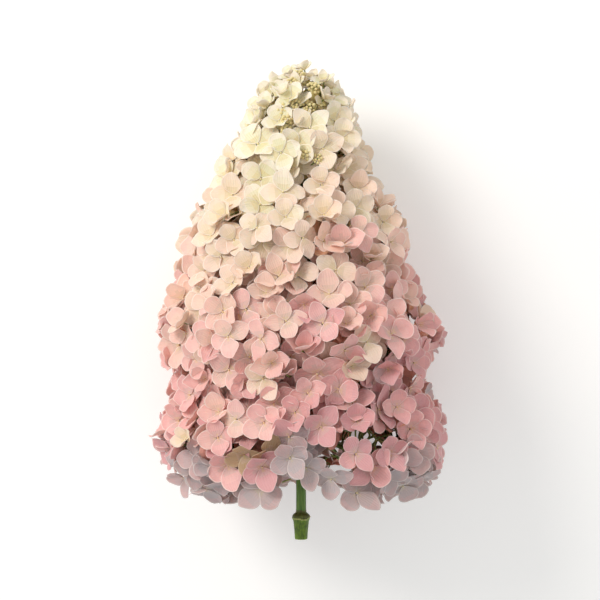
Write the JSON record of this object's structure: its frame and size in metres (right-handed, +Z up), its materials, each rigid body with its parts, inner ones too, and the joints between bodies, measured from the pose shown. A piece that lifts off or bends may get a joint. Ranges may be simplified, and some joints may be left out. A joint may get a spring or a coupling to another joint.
{
  "type": "hydrangea flower head",
  "caption": "Cut panicle hydrangea flower head lying on its side: a cone of four-sepalled florets, cream at the tip and pink at the base, on a short bare green stem.",
  "frame": {"origin": "on the surface it lies on, under the centre of its box", "axes": "+Y along the flower head from the cut end towards the tip, +Z up, away from the surface, +X to the right when the tip points away"},
  "size_m": [0.1864, 0.296, 0.1726],
  "materials": {
    "stem": "olive green young stem, satin",
    "side_branches": "pale green side branches, satin",
    "florets_dusty_pink": "soft matte petals",
    "florets_pink": "soft matte petals",
    "florets_light_pink": "soft matte petals",
    "florets_blush": "soft matte petals",
    "florets_peach": "soft matte petals",
    "florets_warm_cream": "soft matte petals",
    "florets_cream": "soft matte petals"
  },
  "bodies": {
    "root": {"stem": "stem", "side_branch_1_1": "side_branches", "side_branch_1_2": "side_branches", "side_branch_1_3": "side_branches", "side_branch_1_4": "side_branches", "side_branch_1_5": "side_branches", "side_branch_2_1": "side_branches", "side_branch_2_2": "side_branches", "side_branch_2_3": "side_branches", "side_branch_2_4": "side_branches", "side_branch_2_5": "side_branches", "side_branch_3_1": "side_branches", "side_branch_3_2": "side_branches", "side_branch_3_3": "side_branches", "side_branch_3_4": "side_branches", "side_branch_3_5": "side_branches", "side_branch_4_1": "side_branches", "side_branch_4_2": "side_branches", "side_branch_4_3": "side_branches", "side_branch_4_4": "side_branches", "side_branch_5_1": "side_branches", "side_branch_5_2": "side_branches", "side_branch_5_3": "side_branches", "side_branch_5_4": "side_branches", "side_branch_6_1": "side_branches", "side_branch_6_2": "side_branches", "side_branch_6_3": "side_branches", "florets_tip": "florets_cream", "florets_1_1": "florets_dusty_pink", "florets_1_2": "florets_dusty_pink", "florets_1_3": "florets_dusty_pink", "florets_1_4": "florets_dusty_pink", "florets_1_5": "florets_dusty_pink", "florets_2_1": "florets_pink", "florets_2_2": "florets_pink", "florets_2_3": "florets_pink", "florets_2_4": "florets_pink", "florets_2_5": "florets_pink", "florets_3_1": "florets_light_pink", "florets_3_2": "florets_light_pink", "florets_3_3": "florets_light_pink", "florets_3_4": "florets_light_pink", "florets_3_5": "florets_light_pink", "florets_4_1": "florets_blush", "florets_4_2": "florets_blush", "florets_4_3": "florets_blush", "florets_4_4": "florets_blush", "florets_5_1": "florets_peach", "florets_5_2": "florets_peach", "florets_5_3": "florets_peach", "florets_5_4": "florets_peach", "florets_6_1": "florets_warm_cream", "florets_6_2": "florets_warm_cream", "florets_6_3": "florets_warm_cream"}
  },
  "joints": []
}
